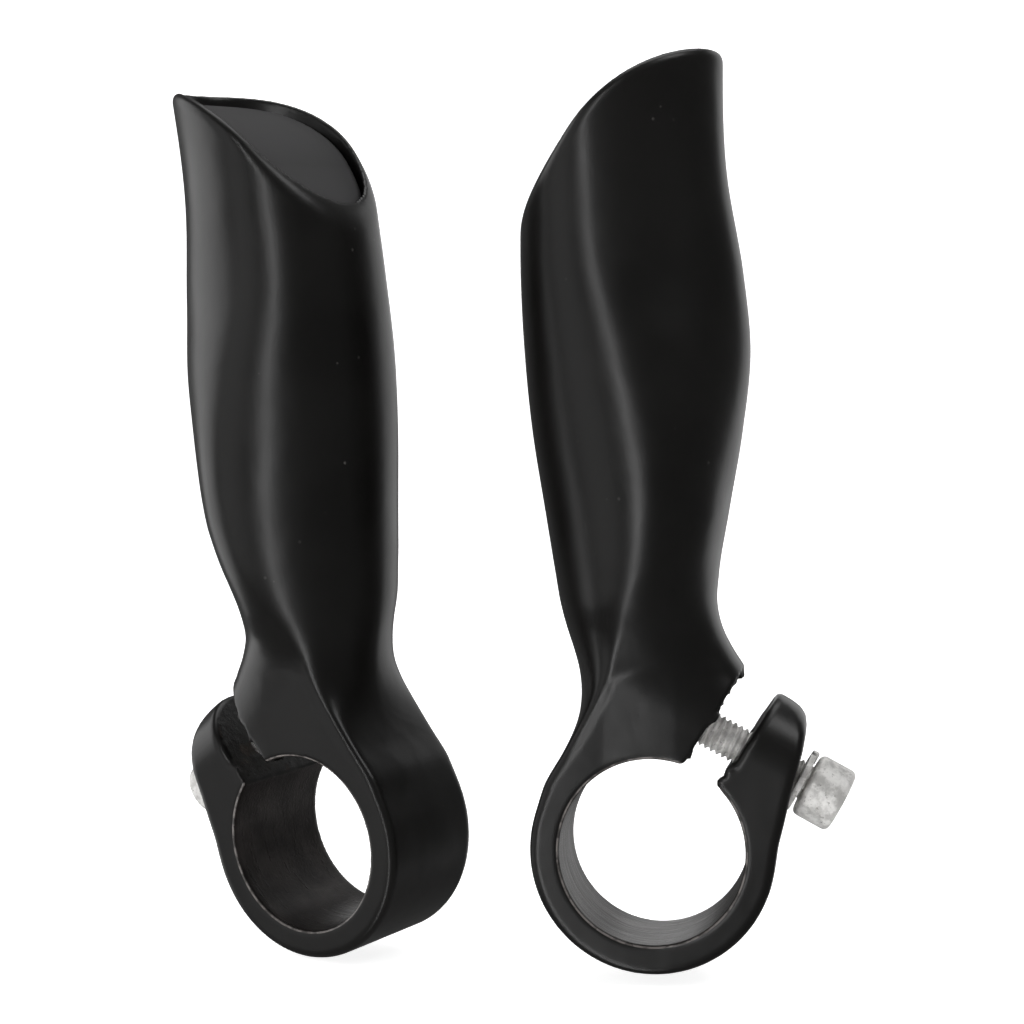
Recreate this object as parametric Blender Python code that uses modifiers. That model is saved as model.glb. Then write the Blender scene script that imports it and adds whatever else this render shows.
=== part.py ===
"""A pair of ergonomic bar end grips, modelled in metres with +Z up along the right grip.

The origin is the centre of the right grip's clamp bore, and +Y runs along that bore. Each grip is one hollow
casting (grip body, split clamp ring, ear and tapped boss), closed by an end cap let into its slanted mouth, and
clamped by a socket head bolt with a spring washer. The casting is symmetric about its middle plane, so the left
grip is the same casting, turned round.
"""

import math

import bmesh
import bpy
import numpy as np
from mathutils import Euler, Matrix, Vector

MM = 0.001

# Clamp ring, for a 22.2 mm handlebar, drawn slack so that the bore stands open at 23 mm.
BORE_RADIUS = 11.5 * MM
RING_RADIUS = 15.2 * MM
CLAMP_WIDTH = 17.1 * MM
EDGE_ROUNDING = 0.9 * MM

# The split leaves the bore at this corner and rises at this slope, and the cut runs from inside the bore out past
# the ear. Distances along the bolt count from its face on the body, positive outwards.
SPLIT_CORNER = Vector((3.9 * MM, 0.0, 10.9 * MM))
SPLIT_SLOPE = math.radians(57.7)
SPLIT_GAP = 5.1 * MM
SPLIT_RUN = (-4 * MM, 18 * MM)

# Clamp bolt, M5 x 20, which dips from the body out through the ear.
BOLT_START = Vector((6.2 * MM, 0.0, 14.7 * MM))
BOLT_DIP = math.radians(28.5)
BOLT_RADIUS = 2.4 * MM
BOLT_LENGTH = 20.0 * MM
HEAD_RADIUS = 4.15 * MM
HEAD_HEIGHT = 5.0 * MM
BOLT_EDGE = 0.5 * MM
SOCKET_ACROSS_FLATS = 4.0 * MM
SOCKET_DEPTH = 2.5 * MM
TAPPED_RADIUS = 2.5 * MM
TAPPED_DEPTH = 13.0 * MM
EAR_HOLE_RADIUS = 2.8 * MM
SPOT_FACE_RADIUS = 5.0 * MM
SPOT_FACE_AT = 12.0 * MM
WASHER_INNER = 2.65 * MM
WASHER_OUTER = 4.1 * MM
WASHER_THICKNESS = 1.0 * MM
WASHER_SPLIT = 0.6 * MM
WASHER_SPLIT_TILT = math.radians(20)
WASHER_SPLIT_AT = math.radians(200)
CLEARANCE = 0.3 * MM

# How far out each grip's washer stands: the right one is slack, the left one is seated.
RIGHT_WASHER_AT = 13.1 * MM
LEFT_WASHER_AT = SPOT_FACE_AT + CLEARANCE

# Boss and ear end in half a disc about the bolt. The boss drops straight from its half disc into the ring.
BOSS_RADIUS = 8.45 * MM
BOSS_LENGTH = 13.0 * MM
BOSS_DROP = 7.0 * MM
EAR_BLOCK = (20 * MM, 26 * MM, 18 * MM)

# Clamp outline, in millimetres of X and Z: the ring's arc in degrees, then the neck, then the ear.
RING_ARC = (2, -228)
NECK_OUTLINE = ((-10.4, 16), (-9.9, 21.5), (-7, 25.4), (-2, 26.6), (2.2, 24.6), (4.4, 20.5), (5.0, 15.0))
EAR_OUTLINE = ((15.9, 20.0), (17.2, 18.9), (18.3, 17.5), (18.8, 16.0), (18.85, 14.4))
EAR_FOOT_RISES = (2.0 * MM, 12.5 * MM)

# Grip body: height, mouth side, split side, widest place between them, and half thickness, in millimetres.
BODY_STATIONS = (
    (6, -10.4, 7.6, -0.4, 6.4),
    (20, -10.5, 7.7, -0.4, 7.0),
    (27, -11.3, 7.7, -0.5, 9.6),
    (34, -12.5, 7.9, -0.6, 12.6),
    (42, -14.0, 9.2, -1.1, 13.7),
    (52, -15.6, 10.9, -2.2, 14.0),
    (62, -16.6, 11.9, -4.2, 13.4),
    (72, -17.1, 11.0, -6.0, 11.8),
    (84, -17.0, 9.0, -7.1, 11.4),
    (106, -16.2, 8.4, -7.7, 12.6),
)
SPLIT_SIDE_ROUNDNESS = 1.8
MOUTH_SIDE_ROUNDNESS = (1.5, 2.3)
SECTION_POINTS = 36
SECTION_STEP = 6.0 * MM

# Mouth: seen along the bore it falls as an arc from the tip, then runs straight.
MOUTH_TIP = (8.0 * MM, 99.8 * MM)
MOUTH_ARC_RADIUS = 26.2 * MM
MOUTH_ARC_SLOPES = (math.radians(6.5), math.radians(54))
MOUTH_OVERHANG = 6 * MM
MOUTH_RUN = 18 * MM
MOUTH_LIP = 1.4 * MM
CAP_INSET = 1.4 * MM
CAP_THICKNESS = 2.6 * MM
CAP_SKIRT_DEPTH = 7.0 * MM
CAP_SKIRT_WALL = 1.3 * MM
BODY_WALL = 3.0 * MM
HOLLOW_FLOOR = 34.0 * MM
CAP_LOFT_FLOOR = 60.0 * MM
SKIRT_LOFT_FLOOR = 58.0 * MM
SKIRT_ROOM_FLOOR = 50.0 * MM

# Where the left grip stands: the same casting turned round, swung, leaning and tipped a little.
LEFT_PLACE = Vector((-42.5, 7.9, -0.5)) * MM
LEFT_TURN = Euler((math.radians(-5.3), math.radians(5.9), math.radians(152.2)), "XYZ")

# Cutters reach this far past what they cut, and shallow ones this far.
REACH = 60 * MM
HOLE_REACH = 20 * MM

# How finely round shapes are drawn, and from which angle an edge counts as sharp.
RING_POINTS = 56
MOUTH_ARC_POINTS = 13
BORE_STEPS = 72
EAR_STEPS = 64
BOSS_STEPS = 48
HOLE_STEPS = 32
TURNED_STEPS = 36
BEVELLED_ANGLE = math.radians(60)
SHARP_ANGLE = math.radians(32)


def clear_scene():
    for obj in list(bpy.data.objects):
        bpy.data.objects.remove(obj, do_unlink=True)


def new_collection(name, hidden=False):
    collection = bpy.data.collections.new(name)
    bpy.context.scene.collection.children.link(collection)
    collection.hide_render = hidden
    return collection


def principled(name, color, roughness, metallic):
    material = bpy.data.materials.new(name)
    material.use_nodes = True
    shader = material.node_tree.nodes["Principled BSDF"]
    shader.inputs["Base Color"].default_value = (*color, 1.0)
    shader.inputs["Roughness"].default_value = roughness
    shader.inputs["Metallic"].default_value = metallic
    return material


def object_from_bmesh(shape, name, collection):
    mesh = bpy.data.meshes.new(name)
    bmesh.ops.recalc_face_normals(shape, faces=shape.faces)
    shape.to_mesh(mesh)
    shape.free()
    obj = bpy.data.objects.new(name, mesh)
    collection.objects.link(obj)
    return obj


def as_cutter(obj):
    obj.hide_render = True
    obj.display_type = "WIRE"
    return obj


def along_y(shape):
    """Turns a shape drawn along Z so that it lies along Y."""
    bmesh.ops.transform(shape, matrix=Matrix.Rotation(math.radians(90), 4, "X"), verts=shape.verts)


def disc(name, radius, depth, segments, collection):
    """A cylinder along its own Z, from 0 to depth."""
    shape = bmesh.new()
    bmesh.ops.create_cone(
        shape, cap_ends=True, segments=segments, radius1=radius, radius2=radius, depth=depth
    )
    bmesh.ops.translate(shape, verts=shape.verts, vec=(0, 0, depth / 2))
    return object_from_bmesh(shape, name, collection)


def outline_prism(name, points, width, collection):
    """A flat outline in X and Z, extruded along Y about the middle plane."""
    curve = bpy.data.curves.new(name, "CURVE")
    curve.dimensions = "2D"
    curve.fill_mode = "BOTH"
    curve.extrude = width / 2
    spline = curve.splines.new("POLY")
    spline.points.add(len(points) - 1)
    for point, (x, z) in zip(spline.points, points):
        point.co = (x, z, 0, 1)
    spline.use_cyclic_u = True
    drawn = bpy.data.objects.new(name, curve)
    collection.objects.link(drawn)
    graph = bpy.context.evaluated_depsgraph_get()
    shape = bmesh.new()
    solid = bpy.data.meshes.new_from_object(drawn.evaluated_get(graph))
    shape.from_mesh(solid)
    bpy.data.meshes.remove(solid)
    bpy.data.objects.remove(drawn)
    bmesh.ops.remove_doubles(shape, verts=shape.verts, dist=0.001 * MM)
    along_y(shape)
    return object_from_bmesh(shape, name, collection)


def boolean(target, other, operation):
    modifier = target.modifiers.new(other.name, "BOOLEAN")
    modifier.operation = operation
    modifier.object = other
    modifier.solver = "EXACT"


def bake(obj):
    """Applies an object's modifiers to its own mesh."""
    graph = bpy.context.evaluated_depsgraph_get()
    mesh = bpy.data.meshes.new_from_object(obj.evaluated_get(graph))
    obj.modifiers.clear()
    obj.data = mesh
    return obj


def on_bolt(distance):
    """The frame of a point on the bolt's axis, with its Z pointing out through the ear."""
    outward = Vector((math.cos(BOLT_DIP), 0, -math.sin(BOLT_DIP)))
    turn = Matrix.Rotation(math.radians(90) + BOLT_DIP, 4, "Y")
    return Matrix.Translation(BOLT_START + outward * distance) @ turn


def smooth_station(height):
    """The station values at a height, on a smooth curve through the stations, in metres."""
    table = np.array(BODY_STATIONS, dtype=float) * MM
    heights = table[:, 0]
    slopes = np.gradient(table, heights, axis=0)
    upper = int(np.clip(np.searchsorted(heights, height), 1, len(heights) - 1))
    span = heights[upper] - heights[upper - 1]
    t = (height - heights[upper - 1]) / span
    ends = table[upper - 1], table[upper]
    tangents = slopes[upper - 1] * span, slopes[upper] * span
    return (
        (2 * t**3 - 3 * t**2 + 1) * ends[0]
        + (t**3 - 2 * t**2 + t) * tangents[0]
        + (3 * t**2 - 2 * t**3) * ends[1]
        + (t**3 - t**2) * tangents[1]
    )[1:]


def section(height, inward):
    """One egg-shaped section of the grip body, shrunk inwards by a wall thickness."""
    mouth_x, split_x, widest_x, half = smooth_station(height)
    share = height / (BODY_STATIONS[-1][0] * MM)
    mouth_roundness = np.interp(share, (0, 1), MOUTH_SIDE_ROUNDNESS)
    points = []
    for i in range(SECTION_POINTS):
        angle = 2 * math.pi * (i + 0.5) / SECTION_POINTS
        cosine, sine = math.cos(angle), math.sin(angle)
        if cosine > 0:
            power, reach = 2 / SPLIT_SIDE_ROUNDNESS, split_x - widest_x - inward
        else:
            power, reach = 2 / mouth_roundness, widest_x - mouth_x - inward
        x = widest_x + math.copysign(reach * abs(cosine) ** power, cosine)
        y = math.copysign((half - inward) * abs(sine) ** power, sine)
        points.append((x, y, height))
    return points


def body_loft(name, inward, low, collection):
    """The grip body's outer shape, or its shape shrunk inwards, from a height up past the mouth."""
    top = BODY_STATIONS[-1][0] * MM
    count = round((top - low) / SECTION_STEP)
    shape = bmesh.new()
    rings = [
        [shape.verts.new(point) for point in section(low + (top - low) * i / count, inward)]
        for i in range(count + 1)
    ]
    for lower, upper in zip(rings, rings[1:]):
        for i in range(SECTION_POINTS):
            j = (i + 1) % SECTION_POINTS
            shape.faces.new((lower[i], lower[j], upper[j], upper[i]))
    shape.faces.new(rings[0])
    shape.faces.new(rings[-1])
    return object_from_bmesh(shape, name, collection)


def mouth_block(name, depth, collection):
    """Everything above the mouth's surface, lowered by a depth."""
    start, end = MOUTH_ARC_SLOPES
    tip_x, tip_z = MOUTH_TIP[0], MOUTH_TIP[1] - depth
    points = [(tip_x + MOUTH_OVERHANG, tip_z + MOUTH_OVERHANG * math.tan(start))]
    for slope in np.linspace(start, end, MOUTH_ARC_POINTS):
        x = tip_x - MOUTH_ARC_RADIUS * (math.sin(slope) - math.sin(start))
        z = tip_z - MOUTH_ARC_RADIUS * (math.cos(start) - math.cos(slope))
        points.append((x, z))
    points.append((x - MOUTH_RUN, z - MOUTH_RUN * math.tan(end)))
    points.append((x - MOUTH_RUN, tip_z + REACH))
    points.append((tip_x + MOUTH_OVERHANG, tip_z + REACH))
    return as_cutter(outline_prism(name, points, REACH, collection))


def clamp_outline():
    """The outline of ring, neck and ear, with the split still filled."""
    points = []
    for angle in np.radians(np.linspace(*RING_ARC, RING_POINTS)):
        points.append((RING_RADIUS * math.cos(angle), RING_RADIUS * math.sin(angle)))
    points += [(x * MM, z * MM) for x, z in NECK_OUTLINE]
    inside_gap = (SPLIT_CORNER + Vector((SPLIT_GAP * 3 / 4, 0, 0))).xz
    rise = Vector((math.cos(SPLIT_SLOPE), math.sin(SPLIT_SLOPE)))
    points += [tuple(inside_gap + rise * distance) for distance in EAR_FOOT_RISES]
    points += [(x * MM, z * MM) for x, z in EAR_OUTLINE]
    return points


def rounding_block(collection):
    """What rounds the ear's end about the bolt: a block above the bolt's axis with a half disc left out."""
    inward, _, outward = EAR_BLOCK
    block = bmesh.new()
    bmesh.ops.create_cube(block, size=1)
    bmesh.ops.scale(block, verts=block.verts, vec=EAR_BLOCK)
    bmesh.ops.translate(block, verts=block.verts, vec=(-inward / 2, 0, (SPLIT_GAP + outward) / 2))
    outer = as_cutter(object_from_bmesh(block, "ear_rounding", collection))
    inner = as_cutter(disc("ear_end", CLAMP_WIDTH / 2, REACH, EAR_STEPS, collection))
    inner.location.z = -REACH / 2
    boolean(outer, inner, "DIFFERENCE")
    bake(outer)
    outer.matrix_world = on_bolt(0)
    return outer


def boss(collection):
    """The tapped boss on the body: a half disc about the bolt, carried straight down to the ring."""
    round_end = disc("boss", BOSS_RADIUS, BOSS_LENGTH, BOSS_STEPS, collection)
    block = bmesh.new()
    bmesh.ops.create_cube(block, size=1)
    bmesh.ops.scale(block, verts=block.verts, vec=(BOSS_DROP, 2 * BOSS_RADIUS, BOSS_LENGTH))
    bmesh.ops.translate(block, verts=block.verts, vec=(BOSS_DROP / 2, 0, BOSS_LENGTH / 2))
    lower = as_cutter(object_from_bmesh(block, "boss_lower", collection))
    boolean(round_end, lower, "UNION")
    bake(round_end)
    round_end.matrix_world = on_bolt(SPLIT_GAP / 2 - BOSS_LENGTH)
    return as_cutter(round_end)


def slot_block(collection):
    """The split, cut from inside the bore out past the ear."""
    start, end = SPLIT_RUN
    block = bmesh.new()
    bmesh.ops.create_cube(block, size=1)
    bmesh.ops.scale(block, verts=block.verts, vec=(end - start, REACH, SPLIT_GAP))
    bmesh.ops.translate(block, verts=block.verts, vec=((start + end) / 2, 0, -SPLIT_GAP / 2))
    slot = as_cutter(object_from_bmesh(block, "split", collection))
    slot.matrix_world = Matrix.Translation(SPLIT_CORNER) @ Matrix.Rotation(-SPLIT_SLOPE, 4, "Y")
    return slot


def bolt_holes(collection):
    """The tapped hole in the boss, the clearance hole in the ear, and the ear's spot face."""
    tapped = disc("tapped_hole", TAPPED_RADIUS, TAPPED_DEPTH + SPLIT_GAP / 2, HOLE_STEPS, collection)
    tapped.matrix_world = on_bolt(-TAPPED_DEPTH)
    clear = disc("ear_hole", EAR_HOLE_RADIUS, HOLE_REACH, HOLE_STEPS, collection)
    clear.matrix_world = on_bolt(SPLIT_GAP / 2)
    spot = disc("spot_face", SPOT_FACE_RADIUS, HOLE_REACH, BOSS_STEPS, collection)
    spot.matrix_world = on_bolt(SPOT_FACE_AT)
    return [as_cutter(hole) for hole in (tapped, clear, spot)]


def casting_mesh(cutters):
    """The whole casting: clamp and grip body joined, then bored, split, drilled and hollowed."""
    casting = outline_prism("casting", clamp_outline(), CLAMP_WIDTH, cutters)
    edges = casting.modifiers.new("edges", "BEVEL")
    edges.width = EDGE_ROUNDING
    edges.segments = 2
    edges.limit_method = "ANGLE"
    edges.angle_limit = BEVELLED_ANGLE
    boolean(casting, rounding_block(cutters), "DIFFERENCE")
    boolean(casting, boss(cutters), "UNION")
    boolean(casting, as_cutter(body_loft("grip_body", 0, BODY_STATIONS[0][0] * MM, cutters)), "UNION")
    bore = as_cutter(disc("bore", BORE_RADIUS, REACH, BORE_STEPS, cutters))
    bore.matrix_world = Matrix.Rotation(math.radians(90), 4, "X") @ Matrix.Translation((0, 0, -REACH / 2))
    for cutter in (bore, slot_block(cutters), *bolt_holes(cutters)):
        boolean(casting, cutter, "DIFFERENCE")
    boolean(casting, mouth_block("mouth", 0, cutters), "DIFFERENCE")
    pocket = as_cutter(body_loft("cap_pocket", MOUTH_LIP, CAP_LOFT_FLOOR, cutters))
    floor = CAP_INSET + CAP_THICKNESS + CLEARANCE
    boolean(pocket, mouth_block("cap_pocket_floor", floor, cutters), "INTERSECT")
    boolean(casting, pocket, "DIFFERENCE")
    hollow = as_cutter(body_loft("hollow", BODY_WALL, HOLLOW_FLOOR, cutters))
    boolean(casting, hollow, "DIFFERENCE")
    bake(casting)
    return casting


def cap_mesh(cutters):
    """The end cap: a plate that follows the mouth, with a skirt that reaches down into the hollow."""
    plate = body_loft("end_cap", MOUTH_LIP + CLEARANCE, CAP_LOFT_FLOOR, cutters)
    boolean(plate, mouth_block("plate_floor", CAP_INSET + CAP_THICKNESS, cutters), "INTERSECT")
    skirt = as_cutter(body_loft("skirt", BODY_WALL + CLEARANCE, SKIRT_LOFT_FLOOR, cutters))
    boolean(skirt, mouth_block("skirt_floor", CAP_INSET + CAP_SKIRT_DEPTH, cutters), "INTERSECT")
    inside_skirt = BODY_WALL + CLEARANCE + CAP_SKIRT_WALL
    room = as_cutter(body_loft("skirt_room", inside_skirt, SKIRT_ROOM_FLOOR, cutters))
    under_plate = mouth_block("under_plate", CAP_INSET + CAP_THICKNESS - CLEARANCE, cutters)
    boolean(room, under_plate, "DIFFERENCE")
    boolean(plate, skirt, "UNION")
    boolean(plate, room, "DIFFERENCE")
    boolean(plate, mouth_block("plate_top", CAP_INSET, cutters), "DIFFERENCE")
    bake(plate)
    return plate


def turned(name, profile, steps, collection):
    """A turned shape about its own Z, from a profile that runs down its outer side."""
    shape = bmesh.new()
    points = [shape.verts.new((radius, 0, height)) for radius, height in profile]
    for first, second in zip(points, points[1:]):
        shape.edges.new((first, second))
    mesh = bpy.data.meshes.new(name)
    shape.to_mesh(mesh)
    shape.free()
    obj = bpy.data.objects.new(name, mesh)
    collection.objects.link(obj)
    screw = obj.modifiers.new("turn", "SCREW")
    screw.steps = steps
    screw.render_steps = steps
    screw.use_merge_vertices = True
    screw.merge_threshold = 0.00001
    return obj


def bolt_mesh(cutters):
    """The socket head bolt, its Z pointing out of the head and its origin under the head."""
    profile = (
        (0, HEAD_HEIGHT),
        (HEAD_RADIUS - BOLT_EDGE, HEAD_HEIGHT),
        (HEAD_RADIUS, HEAD_HEIGHT - BOLT_EDGE),
        (HEAD_RADIUS, 0),
        (BOLT_RADIUS, 0),
        (BOLT_RADIUS, -BOLT_LENGTH + BOLT_EDGE),
        (BOLT_RADIUS - BOLT_EDGE, -BOLT_LENGTH),
        (0, -BOLT_LENGTH),
    )
    bolt = turned("clamp_bolt", profile, TURNED_STEPS, cutters)
    corner_radius = SOCKET_ACROSS_FLATS / 2 / math.cos(math.radians(30))
    socket = as_cutter(disc("hex_socket", corner_radius, HEAD_HEIGHT, 6, cutters))
    socket.location.z = HEAD_HEIGHT - SOCKET_DEPTH
    boolean(bolt, socket, "DIFFERENCE")
    bake(bolt)
    return bolt


def washer_mesh(cutters):
    """The split spring washer, flat as it lies, its origin on its inner face."""
    profile = (
        (WASHER_INNER, WASHER_THICKNESS),
        (WASHER_OUTER, WASHER_THICKNESS),
        (WASHER_OUTER, 0),
        (WASHER_INNER, 0),
        (WASHER_INNER, WASHER_THICKNESS),
    )
    washer = turned("spring_washer", profile, TURNED_STEPS, cutters)
    block = bmesh.new()
    bmesh.ops.create_cube(block, size=1)
    bmesh.ops.scale(block, verts=block.verts, vec=(2 * WASHER_OUTER, WASHER_SPLIT, 4 * WASHER_THICKNESS))
    bmesh.ops.translate(block, verts=block.verts, vec=(WASHER_OUTER, 0, 0))
    slit = as_cutter(object_from_bmesh(block, "washer_slit", cutters))
    slit.rotation_euler = (WASHER_SPLIT_TILT, 0, WASHER_SPLIT_AT)
    boolean(washer, slit, "DIFFERENCE")
    bake(washer)
    return washer


def place(name, source, material, parent, matrix, collection):
    """One sub-part: its own object with a shared mesh, on the grip or axis that carries it."""
    mesh = source.data
    mesh.shade_smooth()
    mesh.set_sharp_from_angle(angle=SHARP_ANGLE)
    mesh.materials.clear()
    mesh.materials.append(material)
    obj = bpy.data.objects.new(name, mesh)
    collection.objects.link(obj)
    obj.parent = parent
    obj.matrix_local = matrix
    return obj


def empty(name, parent, matrix, collection):
    marker = bpy.data.objects.new(name, None)
    marker.empty_display_size = 10 * MM
    collection.objects.link(marker)
    marker.parent = parent
    marker.matrix_local = matrix
    return marker


def main():
    clear_scene()
    grips = new_collection("bar_end_grips")
    cutters = new_collection("cutters", hidden=True)
    paint = principled("satin_black", (0.012, 0.011, 0.011), 0.42, 0.0)
    plastic = principled("matt_cap", (0.035, 0.034, 0.036), 0.7, 0.0)
    zinc = principled("zinc_steel", (0.62, 0.62, 0.6), 0.38, 1.0)
    sources = {
        "grip_casting": (casting_mesh(cutters), paint),
        "end_cap": (cap_mesh(cutters), plastic),
        "clamp_bolt": (bolt_mesh(cutters), zinc),
        "spring_washer": (washer_mesh(cutters), zinc),
    }
    sides = {
        "right": (Matrix.Identity(4), RIGHT_WASHER_AT),
        "left": (Matrix.Translation(LEFT_PLACE) @ LEFT_TURN.to_matrix().to_4x4(), LEFT_WASHER_AT),
    }
    for side, (stand, washer_at) in sides.items():
        grip = empty(f"{side}_grip", None, stand, grips)
        axis = empty(f"{side}_bolt_axis", grip, on_bolt(0), grips)
        head_at = washer_at + WASHER_THICKNESS + CLEARANCE
        places = {
            "grip_casting": (grip, Matrix.Identity(4)),
            "end_cap": (grip, Matrix.Identity(4)),
            "clamp_bolt": (axis, Matrix.Translation((0, 0, head_at))),
            "spring_washer": (axis, Matrix.Translation((0, 0, washer_at))),
        }
        for piece, (parent, matrix) in places.items():
            source, material = sources[piece]
            place(f"{side}_{piece}", source, material, parent, matrix, grips)
    for source, _ in sources.values():
        as_cutter(source)


main()
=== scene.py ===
"""Looks of the pair of bar end grips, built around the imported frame.

Both castings are one mesh, made from a distance field in millimetres in the right grip's own frame:
a lofted grip body with a fillet onto the clamp, then the mouth, cap pocket, hollow, bore, split and
bolt holes. The caps come from the same field. The bolts have a field of their own, and the washers
are swept. The left grip's pieces take its place and turn, and every piece rides on its CAD body.
"""

import math

import bpy
import numpy as np
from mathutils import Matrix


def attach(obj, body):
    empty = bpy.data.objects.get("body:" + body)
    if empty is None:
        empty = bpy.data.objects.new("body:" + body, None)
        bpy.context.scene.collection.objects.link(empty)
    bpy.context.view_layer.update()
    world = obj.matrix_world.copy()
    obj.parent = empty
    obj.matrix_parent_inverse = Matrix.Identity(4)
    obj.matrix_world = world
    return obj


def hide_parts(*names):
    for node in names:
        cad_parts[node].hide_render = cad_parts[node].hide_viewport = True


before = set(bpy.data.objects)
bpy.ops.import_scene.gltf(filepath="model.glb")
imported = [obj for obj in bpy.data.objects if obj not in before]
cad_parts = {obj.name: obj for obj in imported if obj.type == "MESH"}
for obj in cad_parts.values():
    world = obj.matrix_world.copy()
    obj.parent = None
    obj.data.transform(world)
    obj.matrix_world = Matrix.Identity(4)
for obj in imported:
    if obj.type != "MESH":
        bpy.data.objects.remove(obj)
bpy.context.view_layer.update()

import openvdb
from mathutils import Euler, Matrix, Vector

MM = 0.001

# ---- sizes, in millimetres, as in the CAD part ----
BORE_RADIUS = 11.5
RING_RADIUS = 15.2
HALF_CLAMP = 8.55
SPLIT_CORNER = (3.9, 10.9)
SPLIT_SLOPE = math.radians(57.7)
SPLIT_GAP = 5.1
BOLT_START = (6.2, 14.7)
BOLT_DIP = math.radians(28.5)
BOLT_RADIUS = 2.4
BOLT_LENGTH = 20.0
HEAD_RADIUS = 4.15
HEAD_HEIGHT = 5.0
SOCKET_FLATS = 4.0
SOCKET_DEPTH = 2.5
THREAD_PITCH = 0.8
TAPPED_RADIUS = 2.5
TAPPED_DEPTH = 13.0
EAR_HOLE_RADIUS = 2.8
SPOT_FACE_RADIUS = 5.0
SPOT_FACE_AT = 12.0
WASHER_INNER = 2.65
WASHER_OUTER = 4.1
WASHER_THICKNESS = 1.0
WASHER_SPLIT = 0.6
WASHER_LIFT = 0.2
CLEARANCE = 0.3
RIGHT_WASHER_AT = 13.1
LEFT_WASHER_AT = SPOT_FACE_AT + CLEARANCE
MOUTH_TIP = (8.0, 99.8)
MOUTH_ARC_RADIUS = 26.2
MOUTH_ARC_SLOPES = (math.radians(6.5), math.radians(54))
MOUTH_LIP = 1.4
CAP_INSET = 1.4
CAP_THICKNESS = 2.6
CAP_SKIRT_DEPTH = 7.0
CAP_SKIRT_WALL = 1.3
BODY_WALL = 3.0
HOLLOW_FLOOR = 34.0
LEFT_PLACE = Vector((-42.5, 7.9, -0.5)) * MM
LEFT_TURN = Euler((math.radians(-5.3), math.radians(5.9), math.radians(152.2)), "XYZ")
FLOOR_HEIGHT = -16.6 * MM

# Grip body: height, mouth side x, split side x, widest x, half thickness.
BODY_STATIONS = (
    (4, -14.6, 5.0, -13.5, 8.4),
    (8, -13.6, 6.0, -12.4, 8.45),
    (12, -11.3, 9.0, -10.1, 8.5),
    (16, -9.8, 11.5, -7.9, 8.5),
    (19, -9.5, 12.4, -6.3, 8.5),
    (22, -9.8, 11.3, -5.0, 8.6),
    (24.6, -10.5, 9.7, -4.3, 9.0),
    (27, -11.3, 8.5, -3.6, 9.8),
    (30.4, -12.2, 7.7, -2.6, 11.4),
    (34, -12.8, 7.9, -1.3, 12.5),
    (42, -14.1, 9.2, -0.2, 13.7),
    (52, -15.7, 10.9, -0.9, 14.0),
    (62, -16.7, 11.9, -3.3, 13.4),
    (72, -17.2, 11.0, -6.0, 11.8),
    (84, -17.1, 9.0, -7.1, 11.4),
    (106, -16.3, 8.4, -7.7, 12.6),
)
# Section shape: height, powers of the mouth side and of the split side, and the ridge's radius.
# Low down the ridge is a crisp crease that runs into the ring's edge, and higher up it is soft.
SECTION_SHAPES = (
    (4, 1.5, 6.0, 1.0),
    (16, 1.5, 5.0, 1.0),
    (22, 1.6, 3.2, 1.1),
    (27, 1.6, 2.4, 1.6),
    (31, 1.6, 2.2, 3.5),
    (36, 1.6, 1.85, 6.5),
    (42, 1.6, 1.7, 8.0),
    (60, 1.85, 1.68, 8.0),
    (80, 2.0, 1.68, 7.0),
    (106, 2.1, 1.68, 6.0),
)
EGG_POINTS = 480

# Rounded edges and blends of the casting and the cap.
FILLET = 1.6
MOUTH_SIDE_FILLET = 0.3
FILLET_GROWS = (-6, 3)
CLAMP_EDGE = 1.0
NECK_BLEND = 2.0
EAR_BLEND = 0.3
FLAT_UNTIL = -5
ROUND_FROM = 2
SPLIT_EDGE = 0.3
BORE_EDGE = 0.5
HOLE_EDGE = 0.35
MOUTH_EDGE = 1.6
POCKET_EDGE = 0.5
HOLLOW_ROUNDING = 3.0
CAP_EDGE = 0.7
CAP_BLEND = 0.3
CAP_ROOM_ROUNDING = 0.6

# Where the split's slot starts and ends along its face, where the bolt's two holes meet along the bolt,
# and how far under the cap's face its skirt starts.
SPLIT_RUN = (-4, 22)
HOLES_MEET = 3
SKIRT_START = 0.5

# Torn cast faces of the split: scale and seed of two noises, depth on the faces, and the burrs along
# the edges.
TORN_NOISES = ((0.75, 11), (1.6, 12))
TORN_DEPTH = 0.10
BURR_DEPTH = 1.3
BURR_FROM = 0.06
BURR_INSET = 0.4
BURR_SPREAD = 0.4

# Grids. The body is smooth between the coarse heights, so only every second layer is kept there.
VOXEL = 0.3
BAND_VOXELS = 16
GRID_LOW = (-19.2, -15.9, -16.8)
GRID_HIGH = (20.4, 15.9, 101.4)
COARSE_HEIGHTS = (29.0, 76.0)
COARSE_STEP = 2
BOLT_VOXEL = 0.12
BOLT_GRID_HALF = 4.6
BOLT_GRID_MARGIN = 0.5


# ---- distance fields ----


def smooth_min(a, b, k):
    h = np.maximum(k - np.abs(a - b), 0) / k
    return np.minimum(a, b) - h * h * k / 4


def smooth_max(a, b, k):
    return -smooth_min(-a, -b, k)


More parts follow.
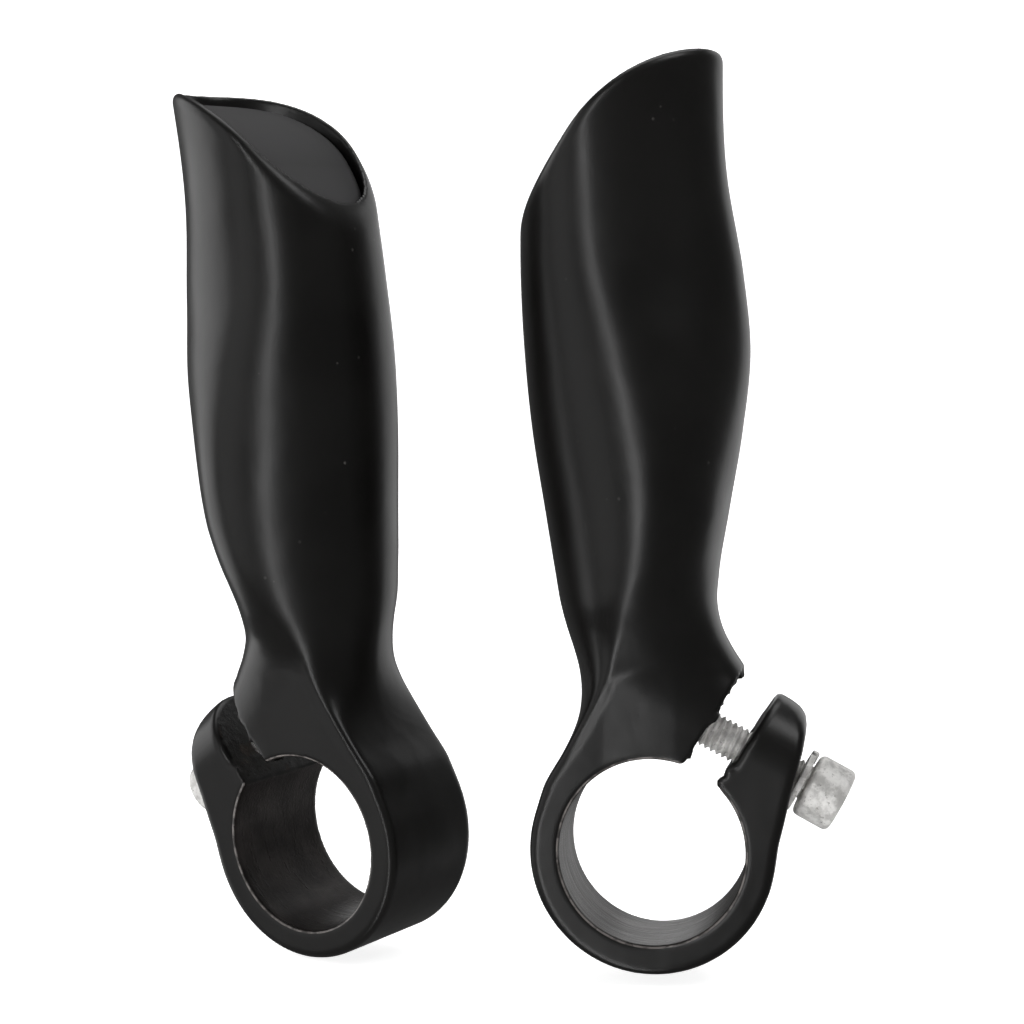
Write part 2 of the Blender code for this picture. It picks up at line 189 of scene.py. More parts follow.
def polygon_field(x, z, points):
    """Signed distance in the XZ plane to a closed outline, on the grid x by z."""
    px, pz = np.meshgrid(x, z, indexing="ij")
    nearest = np.full(px.shape, np.inf)
    inside = np.zeros(px.shape, bool)
    corners = np.asarray(points, float)
    for (ax, az), (bx, bz) in zip(corners, np.roll(corners, -1, axis=0)):
        ex, ez = bx - ax, bz - az
        share = np.clip(((px - ax) * ex + (pz - az) * ez) / max(ex * ex + ez * ez, 1e-12), 0, 1)
        nearest = np.minimum(nearest, (px - ax - share * ex) ** 2 + (pz - az - share * ez) ** 2)
        crosses = (az > pz) != (bz > pz)
        with np.errstate(divide="ignore", invalid="ignore"):
            inside ^= crosses & (px < ax + (pz - az) * ex / (ez if ez else np.nan))
    return np.where(inside, -1, 1) * np.sqrt(nearest)


def smooth_station(height):
    table = np.array(BODY_STATIONS, dtype=float)
    heights = table[:, 0]
    slopes = np.gradient(table, heights, axis=0)
    upper = int(np.clip(np.searchsorted(heights, height), 1, len(heights) - 1))
    span = heights[upper] - heights[upper - 1]
    t = (height - heights[upper - 1]) / span
    ends = table[upper - 1], table[upper]
    tangents = slopes[upper - 1] * span, slopes[upper] * span
    return (
        (2 * t**3 - 3 * t**2 + 1) * ends[0]
        + (t**3 - 2 * t**2 + t) * tangents[0]
        + (3 * t**2 - 2 * t**3) * ends[1]
        + (t**3 - t**2) * tangents[1]
    )[1:]


def section(height, normals):
    """The outline at a height: an egg, smaller by the ridge's radius, swept round by a disc of it."""
    mouth_x, split_x, widest_x, half = smooth_station(height)
    heights, *shapes = zip(*SECTION_SHAPES)
    mouth_power, split_power, ridge = (np.interp(height, heights, column) for column in shapes)
    angles = np.linspace(0, 2 * np.pi, EGG_POINTS + 1)[:-1]
    cosine, sine = np.cos(angles), np.sin(angles)
    power = 2 / np.where(cosine > 0, split_power, mouth_power)
    reach = np.where(cosine > 0, split_x - widest_x, widest_x - mouth_x) - ridge
    x = widest_x + np.sign(cosine) * reach * np.abs(cosine) ** power
    y = np.sign(sine) * (half - ridge) * np.abs(sine) ** power
    egg = np.stack([x, y], axis=1)
    return egg[(egg @ normals.T).argmax(axis=0)] + ridge * normals


def body_loft(rows=220, around=240):
    """The grip body's outer shape as points, triangles and quads."""
    low, high = BODY_STATIONS[0][0], BODY_STATIONS[-1][0]
    angles = 2 * np.pi * (np.arange(around) + 0.5) / around
    normals = np.stack([np.cos(angles), np.sin(angles)], axis=1)
    heights = np.linspace(low, high, rows)
    outlines = [np.insert(section(height, normals), 2, height, axis=1) for height in heights]
    points = np.concatenate(outlines)
    quads = []
    for r in range(rows - 1):
        a = r * around + np.arange(around)
        b = r * around + (np.arange(around) + 1) % around
        quads.append(np.stack([a, b, b + around, a + around], axis=1))
    triangles = []
    for ring in (0, rows - 1):
        middle = points[ring * around : (ring + 1) * around].mean(axis=0)
        points = np.concatenate([points, middle[None]])
        a = ring * around + np.arange(around)
        b = ring * around + (np.arange(around) + 1) % around
        centre = np.full(around, len(points) - 1)
        triangles.append(np.stack([a, b, centre] if ring else [b, a, centre], axis=1))
    return points, np.concatenate(triangles), np.concatenate(quads)


def wide_distance(points, triangles, quads, low, shape, voxel, band):
    """Signed distance to a closed mesh on the grid, true within a band of voxels each way."""
    shifted = ((points - low) / voxel).astype(np.float32)
    grid = openvdb.FloatGrid.createLevelSetFromPolygons(
        shifted, triangles.astype(np.uint32), quads.astype(np.uint32), halfWidth=float(band)
    )
    values = np.zeros(shape, np.float32)
    grid.copyToArray(values)
    return values * voxel


def mesh_of(field, low, voxel, heights):
    """(points, quads) of the zero surface. heights gives the z of each layer."""
    band = 3.0
    grid = openvdb.FloatGrid(band)
    grid.copyFromArray(np.ascontiguousarray(np.clip(field / voxel, -band, band).astype(np.float32)))
    points, quads = grid.convertToQuads(0.0)
    points = np.array(points, float)
    x = low[0] + points[:, 0] * voxel
    y = low[1] + points[:, 1] * voxel
    z = np.interp(points[:, 2], np.arange(len(heights)), heights)
    return np.stack([x, y, z], axis=1), np.array(quads)[:, ::-1]


def mouth_height(x):
    """Height of the mouth's surface at each x, and the slope there."""
    start, end = MOUTH_ARC_SLOPES
    tip_x, tip_z = MOUTH_TIP
    arc_end = tip_x - MOUTH_ARC_RADIUS * (math.sin(end) - math.sin(start))
    end_z = tip_z - MOUTH_ARC_RADIUS * (math.cos(start) - math.cos(end))
    sine = np.clip(math.sin(start) + (tip_x - x) / MOUTH_ARC_RADIUS, math.sin(start), math.sin(end))
    on_arc = tip_z - MOUTH_ARC_RADIUS * (math.cos(start) - np.sqrt(1 - sine**2))
    height = np.where(x > tip_x, tip_z + (x - tip_x) * math.tan(start), on_arc)
    height = np.where(x < arc_end, end_z + (x - arc_end) * math.tan(end), height)
    return height, np.arcsin(sine)


def split_frame(x, z):
    """Across the split from its face on the body, and up along that face from the bore."""
    dx, dz = x - SPLIT_CORNER[0], z - SPLIT_CORNER[1]
    across = dx * math.sin(SPLIT_SLOPE) - dz * math.cos(SPLIT_SLOPE)
    return across, dx * math.cos(SPLIT_SLOPE) + dz * math.sin(SPLIT_SLOPE)


def clamp_outline():
    """Neck and ear outlines; the ring is a circle of its own."""
    neck = [(-12.3, 8), (-10.0, 12), (-7.8, 16), (-6.2, 19), (-5.2, 21.5), (-1, 23), (6, 24.4)]
    neck += [(12.5, 21.2), (6.0, 10.9), (4, 6), (0, 0)]
    ear = [(9.2, 9.7), (15.3, 19.3), (16.0, 19.2), (17.2, 18.5), (18.2, 17.5), (18.75, 16.2)]
    ear += [(18.86, 14.6), (18.5, 12.6), (17.6, 9.3), (16.93, 6.85), (16.2, 3.6), (15.6, 1.2)]
    ear += [(15.1, -1.5), (14.3, -4.8), (10, 0)]
    return neck, ear


def value_noise(shape, voxel, scale, seed):
    """Smooth noise on a grid, about -1 to 1, from a seeded coarse lattice."""
    size = [int(n * voxel / scale) + 4 for n in shape]
    lattice = np.random.default_rng(seed).uniform(-1, 1, size).astype(np.float32)
    out = lattice
    for axis, n in enumerate(shape):
        at = np.arange(n) * voxel / scale
        first = at.astype(int)
        t = at - first
        t = (t * t * (3 - 2 * t)).reshape([-1 if a == axis else 1 for a in range(3)])
        out = np.take(out, first, axis=axis) * (1 - t) + np.take(out, first + 1, axis=axis) * t
    return out


class Casting:
    """The casting's grid, with the body's distance and the depth below the mouth at every point."""

    def __init__(self):
        self.low = np.array(GRID_LOW)
        self.shape = tuple(int(n) for n in np.round((np.array(GRID_HIGH) - self.low) / VOXEL) + 1)
        self.x, self.y, self.z = (self.low[a] + VOXEL * np.arange(self.shape[a]) for a in range(3))
        self.X = self.x[:, None, None]
        self.Y = np.abs(self.y)[None, :, None]
        self.Z = self.z[None, None, :]
        points, triangles, quads = body_loft()
        self.body = wide_distance(points, triangles, quads, self.low, self.shape, VOXEL, BAND_VOXELS)
        height, slope = (values[:, None, None] for values in mouth_height(self.x))
        self.depth = ((height - self.Z) * np.cos(slope)).astype(np.float32)

    def bolt_frame(self):
        """Along the bolt, and up from it, at every x and z."""
        dx, dz = self.X - BOLT_START[0], self.Z - BOLT_START[1]
        along = dx * math.cos(BOLT_DIP) - dz * math.sin(BOLT_DIP)
        up = dx * math.sin(BOLT_DIP) + dz * math.cos(BOLT_DIP)
        return along, up

    def clamp(self):
        """Ring, neck and boss, and ring and ear, still solid, with rounded edges."""
        neck, ear = (polygon_field(self.x, self.z, outline) for outline in clamp_outline())
        ring = np.hypot(*np.meshgrid(self.x, self.z, indexing="ij")) - RING_RADIUS

        def extruded(flat, front):
            side, front = flat[:, None, :] + CLAMP_EDGE, front + CLAMP_EDGE
            outside = np.hypot(np.maximum(side, 0), np.maximum(front, 0))
            return (np.minimum(np.maximum(side, front), 0) + outside - CLAMP_EDGE).astype(np.float32)

        flat_front, round_front = self.Y - HALF_CLAMP, self.round_front()
        share = np.clip((self.X - FLAT_UNTIL) / (ROUND_FROM - FLAT_UNTIL), 0, 1)
        share = share * share * (3 - 2 * share)
        front = flat_front * (1 - share) + round_front * share
        main = extruded(smooth_min(ring, neck, NECK_BLEND), front)
        return main, extruded(smooth_min(ring, ear, EAR_BLEND), round_front)

    def round_front(self):
        """Distance to the clamp's faces where they end in half a disc about the bolt."""
        _, up = self.bolt_frame()
        return np.where(up > 0, np.hypot(np.maximum(up, 0), self.Y), self.Y) - HALF_CLAMP

    def split(self):
        """Signed distance to the split's slot, less than 0 inside."""
        across, rise = split_frame(self.X, self.Z)
        start, end = SPLIT_RUN
        return np.maximum(np.maximum(-across, across - SPLIT_GAP), np.maximum(start - rise, rise - end))

    def solid(self):
        """The finished casting."""
        main, ear = self.clamp()
        slot = self.split()
        fillet = np.interp(self.x, FILLET_GROWS, (MOUTH_SIDE_FILLET, FILLET))[:, None, None]
        outer = np.minimum(smooth_min(self.body, main, fillet), ear)
        fine, coarse = (value_noise(self.shape, VOXEL, scale, seed) for scale, seed in TORN_NOISES)
        rough = fine * 0.5 + coarse * 0.5
        edge = np.exp(-((self.round_front() + BURR_INSET) ** 2) / BURR_SPREAD)
        torn = slot + TORN_DEPTH * rough + BURR_DEPTH * np.maximum(rough - BURR_FROM, 0) * edge
        field = smooth_max(outer, -torn, SPLIT_EDGE)
        field = smooth_max(field, BORE_RADIUS - np.hypot(self.X, self.Z), BORE_EDGE)
        along, up = self.bolt_frame()
        radial = np.hypot(up, self.Y)
        tapped = np.maximum(radial - TAPPED_RADIUS, np.maximum(along - HOLES_MEET, -TAPPED_DEPTH - along))
        through = np.maximum(radial - EAR_HOLE_RADIUS, HOLES_MEET - along)
        spot = np.maximum(radial - SPOT_FACE_RADIUS, SPOT_FACE_AT - along)
        for hole in (tapped, through, spot):
            field = smooth_max(field, -hole, HOLE_EDGE)
        field = smooth_max(field, -self.depth, MOUTH_EDGE)
        pocket = np.maximum(self.body + MOUTH_LIP, self.depth - (CAP_INSET + CAP_THICKNESS + CLEARANCE))
        field = smooth_max(field, -pocket, POCKET_EDGE)
        hollow = smooth_max(self.body + BODY_WALL, HOLLOW_FLOOR - self.Z, HOLLOW_ROUNDING)
        return smooth_max(field, -hollow, POCKET_EDGE)

    def cap(self):
        """The end cap: a plate let into the mouth, with a skirt."""
        skirt_side = self.body + BODY_WALL + CLEARANCE
        plate = smooth_max(self.body + MOUTH_LIP + CLEARANCE, CAP_INSET - self.depth, CAP_EDGE)
        plate = np.maximum(plate, self.depth - (CAP_INSET + CAP_THICKNESS))
        skirt = np.maximum(skirt_side, self.depth - (CAP_INSET + CAP_SKIRT_DEPTH))
        skirt = np.maximum(skirt, CAP_INSET + SKIRT_START - self.depth)
        ceiling = CAP_INSET + CAP_THICKNESS - CLEARANCE - self.depth
        room = smooth_max(skirt_side + CAP_SKIRT_WALL, ceiling, CAP_ROOM_ROUNDING)
        return smooth_max(smooth_min(plate, skirt, CAP_BLEND), -room, CAP_BLEND)

    def layers(self, fine_below, fine_above, step):
        """Layer numbers: every one low down and high up, and every step-th between."""
        middle = (self.z > fine_below) & (self.z < fine_above)
        numbers = np.arange(len(self.z))
        return numbers[~middle | (numbers % step == 0)]


# ---- objects ----


def mesh_object(name, points, faces, materials, place=Matrix.Identity(4)):
    """A piece from points in millimetres in its own frame, moved to its place.

    The materials' patterns stay in the own frame, through the own_place attribute.
    """
    own = np.asarray(points, float) * MM
    turned = own @ np.array(place.to_3x3()).T + np.array(place.translation)
    mesh = bpy.data.meshes.new(name)
    mesh.from_pydata(turned.tolist(), [], faces.tolist() if isinstance(faces, np.ndarray) else faces)
    kept = mesh.attributes.new("own_place", "FLOAT_VECTOR", "POINT")
    kept.data.foreach_set("vector", own.astype(np.float32).ravel())
    mesh.shade_smooth()
    for material in materials:
        mesh.materials.append(MATERIALS[material])
    obj = bpy.data.objects.new(name, mesh)
    bpy.context.scene.collection.objects.link(obj)
    return obj


def on_bolt(distance):
    """The frame of a point on the bolt's axis, with its Z pointing out through the ear, in metres."""
    outward = Vector((math.cos(BOLT_DIP), 0, -math.sin(BOLT_DIP)))
    start = Vector((BOLT_START[0], 0, BOLT_START[1]))
    turn = Matrix.Rotation(math.radians(90) + BOLT_DIP, 4, "Y")
    return Matrix.Translation((start + outward * distance) * MM) @ turn


def bolt_field():
    """The bolt, its Z out of the head and its origin under the head."""
    thread_depth, crest_share, flank, crest_proud = 0.42, 0.12, 1.35, 0.02
    neck_depth, runout_start, runout_length = 0.2, -1.3, 0.9
    thread_slope, chamfer_slope = 0.72, 0.707
    tip_chamfer, tip_inset, overlap = 0.55, 0.1, 0.5
    shank_edge, head_edge, socket_edge = 0.1, 0.9, 0.2
    flare_width, flare_slope, flare_depth = 0.35, 0.8, 0.6

    low = np.array([-BOLT_GRID_HALF, -BOLT_GRID_HALF, -BOLT_LENGTH - BOLT_GRID_MARGIN])
    high = np.array([BOLT_GRID_HALF, BOLT_GRID_HALF, HEAD_HEIGHT + BOLT_GRID_MARGIN])
    x, y, z = (np.arange(low[a], high[a] + BOLT_VOXEL, BOLT_VOXEL) for a in range(3))
    X, Y, Z = x[:, None, None], y[None, :, None], z[None, None, :]
    rho = np.hypot(X, Y)
    turn = np.arctan2(Y, X) / (2 * np.pi)
    phase = (Z / THREAD_PITCH - turn) % 1.0
    wave = np.abs(phase - 0.5) * 2
    depth = np.clip(wave * flank - crest_share, 0, 1) * thread_depth
    runout = np.clip((Z - runout_start) / runout_length, 0, 1)
    depth = depth * (1 - runout) + neck_depth * runout
    thread = (rho - (BOLT_RADIUS - depth + crest_proud)) * thread_slope
    tip = (rho - BOLT_RADIUS + tip_chamfer + (-BOLT_LENGTH - Z + tip_inset)) * chamfer_slope
    shank = smooth_max(np.maximum(thread, tip), np.maximum(-BOLT_LENGTH - Z, Z - overlap), shank_edge)
    head = smooth_max(rho - HEAD_RADIUS, np.maximum(Z - HEAD_HEIGHT, -Z), head_edge)
    head = np.maximum(head, -Z)
    sides = [math.radians(60 * k) for k in range(3)]
    across_flats = [np.abs(X * math.cos(a) + Y * math.sin(a)) for a in sides]
    hexagon = np.maximum.reduce(across_flats) - SOCKET_FLATS / 2
    socket = np.maximum(hexagon, HEAD_HEIGHT - SOCKET_DEPTH - Z)
    flare = rho - (SOCKET_FLATS / 2 + flare_width) - (Z - HEAD_HEIGHT) * flare_slope
    socket = np.minimum(socket, np.maximum(flare, HEAD_HEIGHT - flare_depth - Z))
    field = smooth_max(np.minimum(head, shank), -socket, socket_edge)
    return mesh_of(field, low, BOLT_VOXEL, z)


def washer_sweep():
    """A split spring washer of square section, rising over its turn; its origin is on its inner face."""
    steps, corner, corner_points, split_at = 96, 0.12, 4, math.radians(200)
    middle = (WASHER_INNER + WASHER_OUTER) / 2
    half_split = WASHER_SPLIT / middle / 2
    half_width = (WASHER_OUTER - WASHER_INNER) / 2
    half_height = (WASHER_THICKNESS - WASHER_LIFT) / 2
    outline = []
    for side_x, side_z, start in ((1, 1, 0), (-1, 1, 90), (-1, -1, 180), (1, -1, 270)):
        for k in range(corner_points):
            a = math.radians(start + 90 * k / (corner_points - 1))
            across = side_x * (half_width - corner) + corner * math.cos(a)
            outline.append((across, side_z * (half_height - corner) + corner * math.sin(a)))
    outline = np.array(outline)
    n = len(outline)
    radii = middle + outline[:, 0]
    points = []
    for i, a in enumerate(np.linspace(half_split, 2 * np.pi - half_split, steps) + split_at):
        rise = half_height + WASHER_LIFT * i / (steps - 1)
        points.append(np.stack([radii * math.cos(a), radii * math.sin(a), rise + outline[:, 1]], axis=1))
    faces = []
    for i in range(steps - 1):
        for j in range(n):
            k = (j + 1) % n
            faces.append((i * n + j, (i + 1) * n + j, (i + 1) * n + k, i * n + k))
    faces.append(tuple(range(n)))
    faces.append(tuple((steps - 1) * n + j for j in range(n))[::-1])
    return np.concatenate(points), faces


# ---- materials ----


class Nodes:
    """Short calls for building a procedural material."""

    def __init__(self, name):
        self.material = bpy.data.materials.new("look_" + name)
        self.material.use_nodes = True
        self.tree = self.material.node_tree
        self.shader = self.tree.nodes["Principled BSDF"]
        own = self.tree.nodes.new("ShaderNodeAttribute")
        own.attribute_name = "own_place"
        self.coord = own.outputs["Vector"]

    def link(self, output, socket):
        self.tree.links.new(output, self.shader.inputs[socket] if isinstance(socket, str) else socket)

    def noise(self, scale, detail=4, roughness=0.55, stretch=None):
        node = self.tree.nodes.new("ShaderNodeTexNoise")
        node.inputs["Scale"].default_value = scale
        node.inputs["Detail"].default_value = detail
        node.inputs["Roughness"].default_value = roughness
        source = self.coord
        if stretch:
            mapping = self.tree.nodes.new("ShaderNodeMapping")
            mapping.inputs["Scale"].default_value = stretch
            self.tree.links.new(source, mapping.inputs["Vector"])
            source = mapping.outputs["Vector"]
        self.tree.links.new(source, node.inputs["Vector"])
        return node.outputs["Fac"]

    def ramp(self, output, low, high, low_value, high_value):
        node = self.tree.nodes.new("ShaderNodeMapRange")
        node.interpolation_type = "SMOOTHSTEP"
        node.inputs["From Min"].default_value = low
        node.inputs["From Max"].default_value = high
        node.inputs["To Min"].default_value = low_value
        node.inputs["To Max"].default_value = high_value
        self.tree.links.new(output, node.inputs["Value"])
        return node.outputs["Result"]

    def math(self, operation, a, b):
        node = self.tree.nodes.new("ShaderNodeMath")
        node.operation = operation
        for socket, value in zip(node.inputs, (a, b)):
            if isinstance(value, (int, float)):
                socket.default_value = value
            else:
                self.tree.links.new(value, socket)
        return node.outputs[0]

    def mix(self, share, first, second):
        node = self.tree.nodes.new("ShaderNodeMix")
        node.data_type = "RGBA"
        for socket, value in ((node.inputs[0], share), (node.inputs[6], first), (node.inputs[7], second)):
            if isinstance(value, tuple):
                socket.default_value = (*value, 1.0)
            elif isinstance(value, float):
                socket.default_value = value
            else:
                self.tree.links.new(value, socket)
        return node.outputs[2]

    def bump(self, height, strength, distance, normal=None):
        node = self.tree.nodes.new("ShaderNodeBump")
        node.inputs["Strength"].default_value = strength
        node.inputs["Distance"].default_value = distance
        self.tree.links.new(height, node.inputs["Height"])
        if normal is not None:
            self.tree.links.new(normal, node.inputs["Normal"])
        return node.outputs["Normal"]

    def bore_edge(self):
        """1 on the thin edge where the bore meets the clamp's faces, 0 elsewhere."""
        edge_radius, core, fade = (BORE_RADIUS + 0.22) * MM, 0.05 * MM, 0.16 * MM
        face_from, face_to = (HALF_CLAMP - 0.35) * MM, (HALF_CLAMP - 0.2) * MM
        apart = self.tree.nodes.new("ShaderNodeSeparateXYZ")
        self.tree.links.new(self.coord, apart.inputs[0])
        x, y, z = (apart.outputs[k] for k in range(3))
        squares = self.math("ADD", self.math("MULTIPLY", x, x), self.math("MULTIPLY", z, z))
        beyond = self.math("SUBTRACT", self.math("SQRT", squares, 0.0), edge_radius)
        near = self.ramp(self.math("ABSOLUTE", beyond, 0.0), core, fade, 1.0, 0.0)
        front = self.ramp(self.math("ABSOLUTE", y, 0.0), face_from, face_to, 0.0, 1.0)
        return self.math("MULTIPLY", near, front)

    def specks(self, scale, size):
        """1 inside small round specks, 0 between them."""
        node = self.tree.nodes.new("ShaderNodeTexVoronoi")
        node.inputs["Scale"].default_value = scale
        self.tree.links.new(self.coord, node.inputs["Vector"])
        return self.ramp(node.outputs["Distance"], size * 0.5, size, 1.0, 0.0)


def satin_black():
    """Satin black paint: soft dents, fine grain, a few dust specks and a worn edge round the bore."""
    n = Nodes("satin_black")
    grain = n.noise(5200, 3, 0.6)
    cloud = n.noise(60, 4)
    tint = n.ramp(cloud, 0.35, 0.65, 0.0, 1.0)
    color = n.mix(tint, (0.0030, 0.0027, 0.0025), (0.0044, 0.0040, 0.0037))
    dust = n.math("MULTIPLY", n.specks(420, 0.11), n.ramp(n.noise(140, 2), 0.60, 0.68, 0.0, 1.0))
    color = n.mix(n.math("MULTIPLY", dust, 0.4), color, (0.10, 0.095, 0.09))
    worn = n.math("MULTIPLY", n.bore_edge(), n.ramp(n.noise(700, 3), 0.40, 0.58, 0.25, 1.0))
    n.link(n.mix(n.math("MULTIPLY", worn, 0.8), color, (0.22, 0.20, 0.19)), "Base Color")
    n.link(n.ramp(cloud, 0.3, 0.7, 0.28, 0.34), "Roughness")
    dents = n.bump(n.noise(130, 2), 0.3, 0.0003)
    waves = n.bump(n.noise(900, 2), 0.12, 0.00004, dents)
    n.link(n.bump(grain, 0.18, 0.00003, waves), "Normal")
    return n.material


def bare_bore():
    """Machined bore wall: dark brownish metal, brushed round the bore, with a grainy glint."""
    n = Nodes("bare_bore")
    lines = n.noise(400, 3, 0.7, stretch=(0.25, 6.0, 0.25))
    blotch = n.noise(180, 4)
    tint = n.ramp(blotch, 0.35, 0.7, 0.0, 1.0)
    n.link(n.mix(tint, (0.018, 0.015, 0.014), (0.042, 0.036, 0.034)), "Base Color")
    n.shader.inputs["Metallic"].default_value = 0.5
    n.link(n.ramp(lines, 0.3, 0.7, 0.26, 0.46), "Roughness")
    grains = n.bump(n.noise(2500, 3, 0.7), 0.6, 0.00008)
    n.link(n.bump(lines, 0.25, 0.00008, grains), "Normal")
    return n.material


def raw_split():
    """Cast faces of the split: nearly black flakes, with a few dull rusty spots."""
    n = Nodes("raw_split")
    blotch = n.noise(900, 5, 0.65)
    rust = n.ramp(n.noise(330, 3), 0.62, 0.70, 0.0, 1.0)
    tint = n.ramp(blotch, 0.4, 0.65, 0.0, 1.0)
    color = n.mix(tint, (0.003, 0.0028, 0.0026), (0.012, 0.011, 0.010))
    n.link(n.mix(rust, color, (0.020, 0.012, 0.008)), "Base Color")
    n.link(n.ramp(blotch, 0.3, 0.7, 0.35, 0.65), "Roughness")
    n.link(n.bump(n.noise(1800, 4, 0.7), 0.7, 0.00015), "Normal")
    return n.material


def matt_cap():
    """Matt dark grey plastic with a fine moulded grain."""
    n = Nodes("matt_cap")
    cloud = n.noise(80, 4)
    tint = n.ramp(cloud, 0.3, 0.7, 0.0, 1.0)
    n.link(n.mix(tint, (0.030, 0.029, 0.030), (0.042, 0.041, 0.043)), "Base Color")
    n.link(n.ramp(cloud, 0.3, 0.7, 0.58, 0.68), "Roughness")
    n.link(n.bump(n.noise(3800, 3, 0.6), 0.3, 0.00004), "Normal")
    return n.material


def zinc_steel():
    """Mottled zinc plating with darker pits."""
    n = Nodes("zinc_steel")
    blotch = n.noise(520, 5, 0.65)
    spots = n.noise(2300, 4, 0.7)
    tint = n.ramp(blotch, 0.4, 0.62, 0.0, 1.0)
    color = n.mix(tint, (0.62, 0.61, 0.59), (0.93, 0.92, 0.90))
    pits = n.ramp(spots, 0.30, 0.42, 1.0, 0.0)
    n.link(n.mix(n.math("MULTIPLY", pits, 0.75), color, (0.25, 0.24, 0.22)), "Base Color")
    n.shader.inputs["Metallic"].default_value = 0.5
    n.link(n.ramp(blotch, 0.3, 0.7, 0.38, 0.58), "Roughness")
    n.link(n.bump(spots, 0.45, 0.0001), "Normal")
    return n.material


# ---- build ----


def casting_slots(points, quads):
    """Material numbers by where each face lies: 1 on the bore, 2 in the split, 0 elsewhere."""
    split_near, split_from, split_to = 0.12, -3, 16
    bore_near, bore_half = 0.1, 8.4
    x, y, z = points[quads].mean(axis=1).T
    across, rise = split_frame(x, z)
    between = (across > -split_near) & (across < SPLIT_GAP + split_near)
    slots = np.where(between & (rise > split_from) & (rise < split_to), 2, 0)
    slots[(np.hypot(x, z) < BORE_RADIUS + bore_near) & (np.abs(y) < bore_half)] = 1
    return slots


def claim(obj, side, body, node):
    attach(obj, f"{side}_{body}")
    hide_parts(f"{side}_{node}")


CASTING_MATERIALS = ("satin_black", "bare_bore", "raw_split")
MATERIALS = {make.__name__: make() for make in (satin_black, bare_bore, raw_split, matt_cap, zinc_steel)}

cast = Casting()
chosen = cast.layers(*COARSE_HEIGHTS, COARSE_STEP)
casting_shape = mesh_of(cast.solid()[:, :, chosen], cast.low, VOXEL, cast.z[chosen])
slots = casting_slots(*casting_shape)
cap_shape = mesh_of(cast.cap(), cast.low, VOXEL, cast.z)
bolt_shape = bolt_field()
washer_shape = washer_sweep()

for side, stand, washer_at in (
    ("right", Matrix.Identity(4), RIGHT_WASHER_AT),
    ("left", Matrix.LocRotScale(LEFT_PLACE, LEFT_TURN, None), LEFT_WASHER_AT),
):
    head_at = washer_at + WASHER_THICKNESS + CLEARANCE
    body = mesh_object(side + "_casting_body", *casting_shape, CASTING_MATERIALS, stand)
    body.data.polygons.foreach_set("material_index", slots.astype(np.int32))
    cap = mesh_object(side + "_cap_plate", *cap_shape, ("matt_cap",), stand)
    bolt = mesh_object(side + "_bolt_threaded", *bolt_shape, ("zinc_steel",), stand @ on_bolt(head_at))
    washer_place = stand @ on_bolt(washer_at)
    washer = mesh_object(side + "_washer_spring", *washer_shape, ("zinc_steel",), washer_place)
    claim(body, side, "grip", "grip_casting")
    claim(cap, side, "cap", "end_cap")
    claim(bolt, side, "bolt", "clamp_bolt")
    claim(washer, side, "washer", "spring_washer")


# ---- stage ----


def stage_floor():
    """A pale floor that curves up into a backdrop."""
    width, front, back, radius, wall, curve_steps = 3.0, -0.9, 0.9, 0.5, 1.8, 16
    profile = [(front, 0.0), (back, 0.0)]
    for k in range(1, curve_steps + 1):
        a = math.radians(90 * k / curve_steps)
        profile.append((back + radius * math.sin(a), radius - radius * math.cos(a)))
    profile.append((back + radius, wall))
    points, faces = [], []
    for y, z in profile:
        points += [(-width / 2, y, FLOOR_HEIGHT + z), (width / 2, y, FLOOR_HEIGHT + z)]
    for k in range(len(profile) - 1):
        faces.append((2 * k, 2 * k + 1, 2 * k + 3, 2 * k + 2))
    mesh = bpy.data.meshes.new("floor")
    mesh.from_pydata(points, [], faces)
    mesh.shade_smooth()
    floor = bpy.data.objects.new("floor", mesh)
    bpy.context.scene.collection.objects.link(floor)
    n = Nodes("floor_white")
    tint = n.ramp(n.noise(6, 3), 0.3, 0.7, 0.0, 1.0)
    n.link(n.mix(tint, (0.90, 0.90, 0.90), (0.93, 0.93, 0.93)), "Base Color")
    n.shader.inputs["Roughness"].default_value = 0.9
    n.shader.inputs["Emission Color"].default_value = (1.0, 1.0, 1.0, 1.0)
    n.shader.inputs["Emission Strength"].default_value = 0.85
    mesh.materials.append(n.material)
    return floor


def stage_surround():
    """A white drum far out that only the camera sees, so that no view looks past the floor's edge."""
    around, radius, wall, drop = 64, 3.2, 6.0, 0.002
    turns = [2 * math.pi * k / around for k in range(around)]
    points = [(0.0, 0.0, FLOOR_HEIGHT - drop)]
    for z in (FLOOR_HEIGHT - drop, wall):
        points += [(radius * math.cos(a), radius * math.sin(a), z) for a in turns]
    faces = []
    for k in range(around):
        a, b = 1 + k, 1 + (k + 1) % around
        faces += [(0, a, b), (a, a + around, b + around, b)]
    mesh = bpy.data.meshes.new("surround")
    mesh.from_pydata(points, [], faces)
    surround = bpy.data.objects.new("surround", mesh)
    bpy.context.scene.collection.objects.link(surround)
    n = Nodes("surround_white")
    n.shader.inputs["Emission Color"].default_value = (1.0, 1.0, 1.0, 1.0)
    n.shader.inputs["Emission Strength"].default_value = 1.2
    mesh.materials.append(n.material)
    return surround


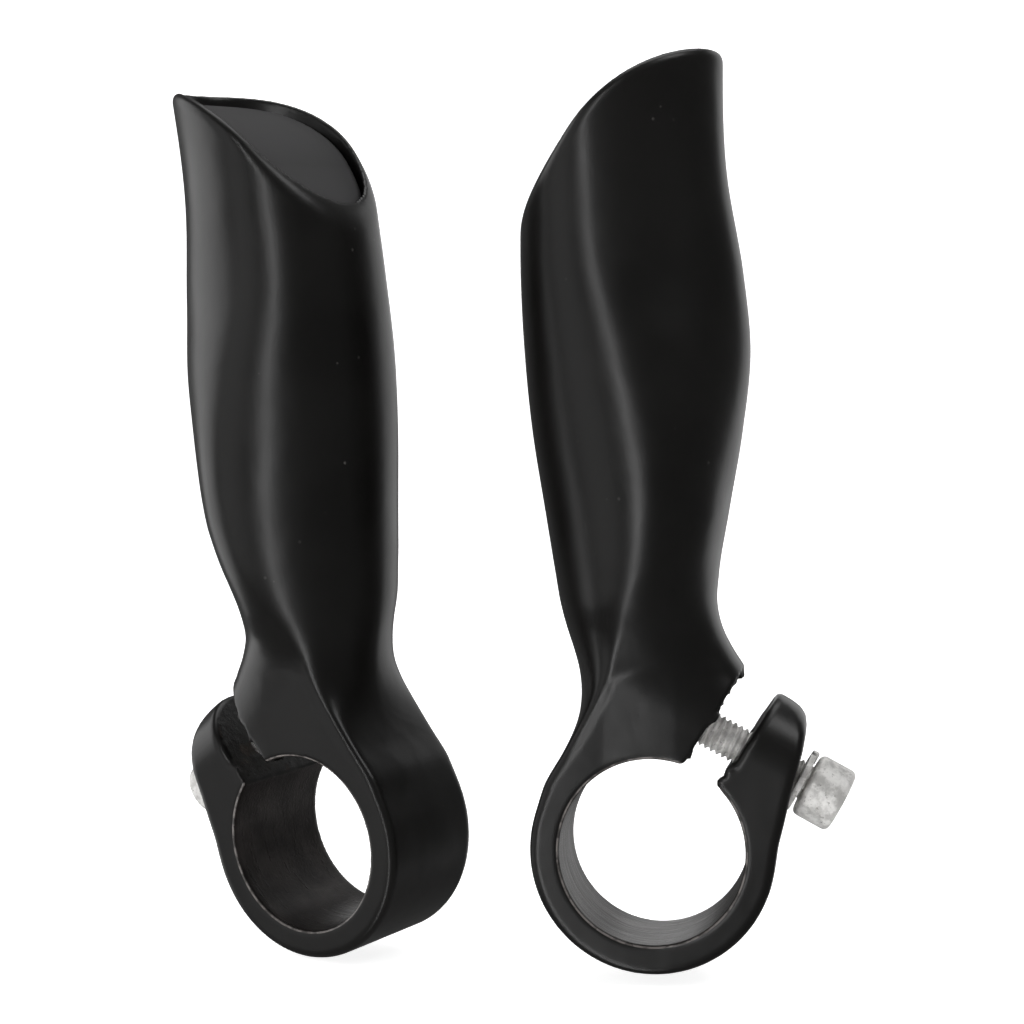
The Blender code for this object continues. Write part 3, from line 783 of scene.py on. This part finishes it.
def soft_box(name, side, height, distance, size, radiance):
    """A soft box facing the object, side degrees round from the viewer, positive to the right."""
    a = math.radians(side)
    place = AIM + Vector((distance * math.sin(a), -distance * math.cos(a), height))
    light = bpy.data.lights.new(name, "AREA")
    light.shape = "RECTANGLE"
    light.size, light.size_y = size
    light.energy = radiance * math.pi * size[0] * size[1]
    obj = bpy.data.objects.new(name, light)
    obj.location = place
    obj.rotation_euler = (AIM - place).to_track_quat("-Z", "Y").to_euler()
    obj.visible_camera = False
    bpy.context.scene.collection.objects.link(obj)


floor = stage_floor()
floor.visible_glossy = False
floor.visible_shadow = False
surround = stage_surround()
surround.visible_diffuse = False
surround.visible_glossy = False
surround.visible_transmission = False
surround.visible_shadow = False

world = bpy.data.worlds.new("studio")
world.use_nodes = True
world.node_tree.nodes["Background"].inputs["Color"].default_value = (1.0, 1.0, 1.0, 1.0)
world.node_tree.nodes["Background"].inputs["Strength"].default_value = 0.10
bpy.context.scene.world = world
bpy.context.scene.view_settings.view_transform = "Standard"

AIM = Vector((-0.02, 0.0, 0.045))
soft_box("strip", -16, -0.15, 0.9, (0.08, 2.0), 8.0)
soft_box("left_front", -57, 0.1, 0.9, (0.55, 1.1), 0.5)
soft_box("left_side", -105, 0.1, 0.9, (0.65, 1.1), 1.3)
soft_box("right_back", 150, 0.1, 0.8, (0.6, 1.0), 0.7)
soft_box("bore_back", 186, 0.2, 0.9, (0.4, 0.3), 1.2)
soft_box("right_high", 62, 0.75, 0.6, (0.35, 0.35), 3.0)
soft_box("top", 175, 1.1, 0.25, (0.9, 0.9), 1.5)

CAMERA_PLACE = Vector((0.0218, -0.2847, 0.0452))
CAMERA_FORWARD = Vector((-0.14, 0.9901, -0.0116)).normalized()
CAMERA_TOP = Vector((0.0001, 0.0117, 0.9999))
camera = bpy.data.cameras.new("camera")
camera.sensor_width = 36
camera.lens = 79.116
camera.clip_start = 0.01
camera_object = bpy.data.objects.new("camera", camera)
bpy.context.scene.collection.objects.link(camera_object)
right = CAMERA_FORWARD.cross(CAMERA_TOP).normalized()
up = right.cross(CAMERA_FORWARD)
turn = Matrix((right, up, -CAMERA_FORWARD)).transposed().to_4x4()
camera_object.matrix_world = Matrix.Translation(CAMERA_PLACE) @ turn
bpy.context.scene.camera = camera_object
